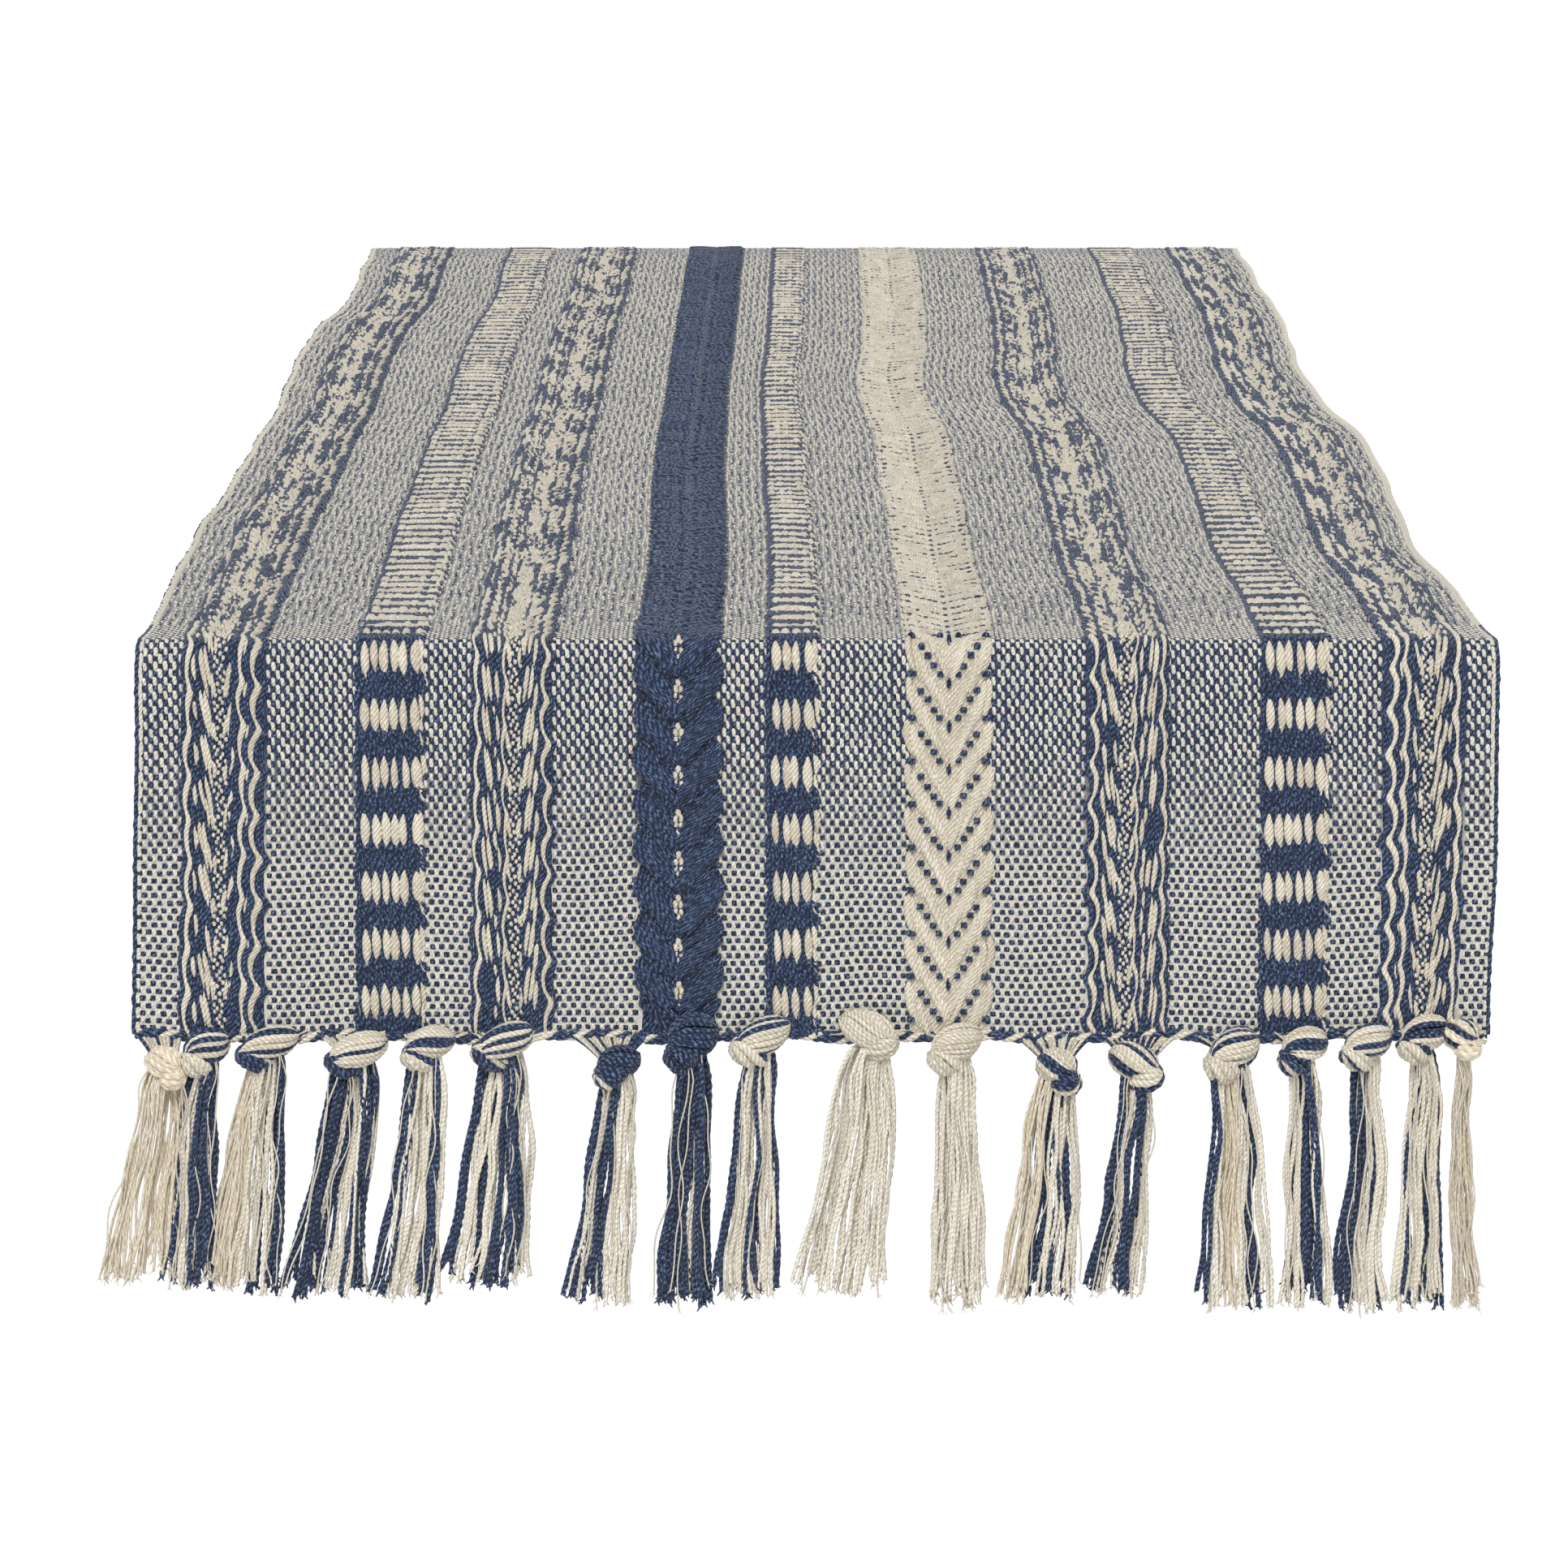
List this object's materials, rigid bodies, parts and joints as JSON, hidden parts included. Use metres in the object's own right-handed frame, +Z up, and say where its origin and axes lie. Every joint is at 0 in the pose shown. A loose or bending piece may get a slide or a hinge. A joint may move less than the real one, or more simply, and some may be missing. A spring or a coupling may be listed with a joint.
{
  "type": "table runner",
  "caption": "Long narrow woven cloth with raised stripes of braids, blocks and chevrons, draped over a table so both ends hang down with a fringe of knotted tassels.",
  "frame": {"origin": "centre of the underside of the flat part of the runner, on the table top", "axes": "+X across the runner, +Y along it away from the end the picture shows, +Z up"},
  "size_m": [0.399, 1.4768, 0.1928],
  "materials": {
    "ground_weave": "plain weave of navy and cream cotton",
    "braid_band": "raised navy and cream cable-braid floats",
    "block_band": "raised blocks of cream and navy floats",
    "navy_chevron": "raised navy float chevron",
    "cream_chevron": "raised cream float chevron",
    "edge_cord": "twined navy and cream cord",
    "knot": "knotted cotton warp bundles",
    "tassel": "loose twisted cotton yarns"
  },
  "bodies": {
    "table_span": {"top_cloth": "ground_weave", "top_braid_bands": "braid_band", "top_block_bands": "block_band", "top_navy_chevron_band": "navy_chevron", "top_cream_chevron_band": "cream_chevron", "front_bend": "ground_weave", "back_bend": "ground_weave"},
    "front_drop": {"front_drop_cloth": "ground_weave", "front_braid_bands": "braid_band", "front_block_bands": "block_band", "front_navy_chevron_band": "navy_chevron", "front_cream_chevron_band": "cream_chevron", "front_edge_cord": "edge_cord", "front_knots": "knot"},
    "front_tassel_01": {"front_tassel_01": "tassel"},
    "front_tassel_02": {"front_tassel_02": "tassel"},
    "front_tassel_03": {"front_tassel_03": "tassel"},
    "front_tassel_04": {"front_tassel_04": "tassel"},
    "front_tassel_05": {"front_tassel_05": "tassel"},
    "front_tassel_06": {"front_tassel_06": "tassel"},
    "front_tassel_07": {"front_tassel_07": "tassel"},
    "front_tassel_08": {"front_tassel_08": "tassel"},
    "front_tassel_09": {"front_tassel_09": "tassel"},
    "front_tassel_10": {"front_tassel_10": "tassel"},
    "front_tassel_11": {"front_tassel_11": "tassel"},
    "front_tassel_12": {"front_tassel_12": "tassel"},
    "front_tassel_13": {"front_tassel_13": "tassel"},
    "front_tassel_14": {"front_tassel_14": "tassel"},
    "front_tassel_15": {"front_tassel_15": "tassel"},
    "front_tassel_16": {"front_tassel_16": "tassel"},
    "front_tassel_17": {"front_tassel_17": "tassel"},
    "front_tassel_18": {"front_tassel_18": "tassel"},
    "back_drop": {"back_drop_cloth": "ground_weave", "back_braid_bands": "braid_band", "back_block_bands": "block_band", "back_navy_chevron_band": "navy_chevron", "back_cream_chevron_band": "cream_chevron", "back_edge_cord": "edge_cord", "back_knots": "knot"},
    "back_tassel_01": {"back_tassel_01": "tassel"},
    "back_tassel_02": {"back_tassel_02": "tassel"},
    "back_tassel_03": {"back_tassel_03": "tassel"},
    "back_tassel_04": {"back_tassel_04": "tassel"},
    "back_tassel_05": {"back_tassel_05": "tassel"},
    "back_tassel_06": {"back_tassel_06": "tassel"},
    "back_tassel_07": {"back_tassel_07": "tassel"},
    "back_tassel_08": {"back_tassel_08": "tassel"},
    "back_tassel_09": {"back_tassel_09": "tassel"},
    "back_tassel_10": {"back_tassel_10": "tassel"},
    "back_tassel_11": {"back_tassel_11": "tassel"},
    "back_tassel_12": {"back_tassel_12": "tassel"},
    "back_tassel_13": {"back_tassel_13": "tassel"},
    "back_tassel_14": {"back_tassel_14": "tassel"},
    "back_tassel_15": {"back_tassel_15": "tassel"},
    "back_tassel_16": {"back_tassel_16": "tassel"},
    "back_tassel_17": {"back_tassel_17": "tassel"},
    "back_tassel_18": {"back_tassel_18": "tassel"}
  },
  "joints": [
    {"name": "front_drop_fold", "type": "hinge", "parent": "table_span", "child": "front_drop", "pos_m": [0, -0.72439, -0.005], "axis": [-1, 0, 0], "range_deg": [0, 90], "deforming": ["front_bend"]},
    {"name": "front_tassel_01_swing", "type": "hinge", "parent": "front_drop", "child": "front_tassel_01", "pos_m": [-0.1835, -0.73319, -0.1215], "axis": [-1, 0, 0], "range_deg": [-90, 90]},
    {"name": "front_tassel_02_swing", "type": "hinge", "parent": "front_drop", "child": "front_tassel_02", "pos_m": [-0.1725, -0.73319, -0.118], "axis": [-1, 0, 0], "range_deg": [-90, 90]},
    {"name": "front_tassel_03_swing", "type": "hinge", "parent": "front_drop", "child": "front_tassel_03", "pos_m": [-0.155, -0.73319, -0.1165], "axis": [-1, 0, 0], "range_deg": [-90, 90]},
    {"name": "front_tassel_04_swing", "type": "hinge", "parent": "front_drop", "child": "front_tassel_04", "pos_m": [-0.13, -0.73319, -0.118], "axis": [-1, 0, 0], "range_deg": [-90, 90]},
    {"name": "front_tassel_05_swing", "type": "hinge", "parent": "front_drop", "child": "front_tassel_05", "pos_m": [-0.1095, -0.73319, -0.1165], "axis": [-1, 0, 0], "range_deg": [-90, 90]},
    {"name": "front_tassel_06_swing", "type": "hinge", "parent": "front_drop", "child": "front_tassel_06", "pos_m": [-0.0885, -0.73319, -0.1165], "axis": [-1, 0, 0], "range_deg": [-90, 90]},
    {"name": "front_tassel_07_swing", "type": "hinge", "parent": "front_drop", "child": "front_tassel_07", "pos_m": [-0.056, -0.73319, -0.1215], "axis": [-1, 0, 0], "range_deg": [-90, 90]},
    {"name": "front_tassel_08_swing", "type": "hinge", "parent": "front_drop", "child": "front_tassel_08", "pos_m": [-0.035, -0.73319, -0.1165], "axis": [-1, 0, 0], "range_deg": [-90, 90]},
    {"name": "front_tassel_09_swing", "type": "hinge", "parent": "front_drop", "child": "front_tassel_09", "pos_m": [-0.0155, -0.73319, -0.1165], "axis": [-1, 0, 0], "range_deg": [-90, 90]},
    {"name": "front_tassel_10_swing", "type": "hinge", "parent": "front_drop", "child": "front_tassel_10", "pos_m": [0.0155, -0.73319, -0.1165], "axis": [-1, 0, 0], "range_deg": [-90, 90]},
    {"name": "front_tassel_11_swing", "type": "hinge", "parent": "front_drop", "child": "front_tassel_11", "pos_m": [0.0395, -0.73319, -0.1165], "axis": [-1, 0, 0], "range_deg": [-90, 90]},
    {"name": "front_tassel_12_swing", "type": "hinge", "parent": "front_drop", "child": "front_tassel_12", "pos_m": [0.069, -0.73319, -0.122], "axis": [-1, 0, 0], "range_deg": [-90, 90]},
    {"name": "front_tassel_13_swing", "type": "hinge", "parent": "front_drop", "child": "front_tassel_13", "pos_m": [0.091, -0.73319, -0.1215], "axis": [-1, 0, 0], "range_deg": [-90, 90]},
    {"name": "front_tassel_14_swing", "type": "hinge", "parent": "front_drop", "child": "front_tassel_14", "pos_m": [0.118, -0.73319, -0.118], "axis": [-1, 0, 0], "range_deg": [-90, 90]},
    {"name": "front_tassel_15_swing", "type": "hinge", "parent": "front_drop", "child": "front_tassel_15", "pos_m": [0.138, -0.73319, -0.117], "axis": [-1, 0, 0], "range_deg": [-90, 90]},
    {"name": "front_tassel_16_swing", "type": "hinge", "parent": "front_drop", "child": "front_tassel_16", "pos_m": [0.156, -0.73319, -0.1165], "axis": [-1, 0, 0], "range_deg": [-90, 90]},
    {"name": "front_tassel_17_swing", "type": "hinge", "parent": "front_drop", "child": "front_tassel_17", "pos_m": [0.172, -0.73319, -0.1165], "axis": [-1, 0, 0], "range_deg": [-90, 90]},
    {"name": "front_tassel_18_swing", "type": "hinge", "parent": "front_drop", "child": "front_tassel_18", "pos_m": [0.183, -0.73319, -0.1165], "axis": [-1, 0, 0], "range_deg": [-90, 90]},
    {"name": "back_drop_fold", "type": "hinge", "parent": "table_span", "child": "back_drop", "pos_m": [0, 0.72439, -0.005], "axis": [1, 0, 0], "range_deg": [0, 90], "deforming": ["back_bend"]},
    {"name": "back_tassel_01_swing", "type": "hinge", "parent": "back_drop", "child": "back_tassel_01", "pos_m": [-0.1835, 0.73319, -0.1215], "axis": [1, 0, 0], "range_deg": [-90, 90]},
    {"name": "back_tassel_02_swing", "type": "hinge", "parent": "back_drop", "child": "back_tassel_02", "pos_m": [-0.1725, 0.73319, -0.118], "axis": [1, 0, 0], "range_deg": [-90, 90]},
    {"name": "back_tassel_03_swing", "type": "hinge", "parent": "back_drop", "child": "back_tassel_03", "pos_m": [-0.155, 0.73319, -0.1165], "axis": [1, 0, 0], "range_deg": [-90, 90]},
    {"name": "back_tassel_04_swing", "type": "hinge", "parent": "back_drop", "child": "back_tassel_04", "pos_m": [-0.13, 0.73319, -0.118], "axis": [1, 0, 0], "range_deg": [-90, 90]},
    {"name": "back_tassel_05_swing", "type": "hinge", "parent": "back_drop", "child": "back_tassel_05", "pos_m": [-0.1095, 0.73319, -0.1165], "axis": [1, 0, 0], "range_deg": [-90, 90]},
    {"name": "back_tassel_06_swing", "type": "hinge", "parent": "back_drop", "child": "back_tassel_06", "pos_m": [-0.0885, 0.73319, -0.1165], "axis": [1, 0, 0], "range_deg": [-90, 90]},
    {"name": "back_tassel_07_swing", "type": "hinge", "parent": "back_drop", "child": "back_tassel_07", "pos_m": [-0.056, 0.73319, -0.1215], "axis": [1, 0, 0], "range_deg": [-90, 90]},
    {"name": "back_tassel_08_swing", "type": "hinge", "parent": "back_drop", "child": "back_tassel_08", "pos_m": [-0.035, 0.73319, -0.1165], "axis": [1, 0, 0], "range_deg": [-90, 90]},
    {"name": "back_tassel_09_swing", "type": "hinge", "parent": "back_drop", "child": "back_tassel_09", "pos_m": [-0.0155, 0.73319, -0.1165], "axis": [1, 0, 0], "range_deg": [-90, 90]},
    {"name": "back_tassel_10_swing", "type": "hinge", "parent": "back_drop", "child": "back_tassel_10", "pos_m": [0.0155, 0.73319, -0.1165], "axis": [1, 0, 0], "range_deg": [-90, 90]},
    {"name": "back_tassel_11_swing", "type": "hinge", "parent": "back_drop", "child": "back_tassel_11", "pos_m": [0.0395, 0.73319, -0.1165], "axis": [1, 0, 0], "range_deg": [-90, 90]},
    {"name": "back_tassel_12_swing", "type": "hinge", "parent": "back_drop", "child": "back_tassel_12", "pos_m": [0.069, 0.73319, -0.122], "axis": [1, 0, 0], "range_deg": [-90, 90]},
    {"name": "back_tassel_13_swing", "type": "hinge", "parent": "back_drop", "child": "back_tassel_13", "pos_m": [0.091, 0.73319, -0.1215], "axis": [1, 0, 0], "range_deg": [-90, 90]},
    {"name": "back_tassel_14_swing", "type": "hinge", "parent": "back_drop", "child": "back_tassel_14", "pos_m": [0.118, 0.73319, -0.118], "axis": [1, 0, 0], "range_deg": [-90, 90]},
    {"name": "back_tassel_15_swing", "type": "hinge", "parent": "back_drop", "child": "back_tassel_15", "pos_m": [0.138, 0.73319, -0.117], "axis": [1, 0, 0], "range_deg": [-90, 90]},
    {"name": "back_tassel_16_swing", "type": "hinge", "parent": "back_drop", "child": "back_tassel_16", "pos_m": [0.156, 0.73319, -0.1165], "axis": [1, 0, 0], "range_deg": [-90, 90]},
    {"name": "back_tassel_17_swing", "type": "hinge", "parent": "back_drop", "child": "back_tassel_17", "pos_m": [0.172, 0.73319, -0.1165], "axis": [1, 0, 0], "range_deg": [-90, 90]},
    {"name": "back_tassel_18_swing", "type": "hinge", "parent": "back_drop", "child": "back_tassel_18", "pos_m": [0.183, 0.73319, -0.1165], "axis": [1, 0, 0], "range_deg": [-90, 90]}
  ]
}
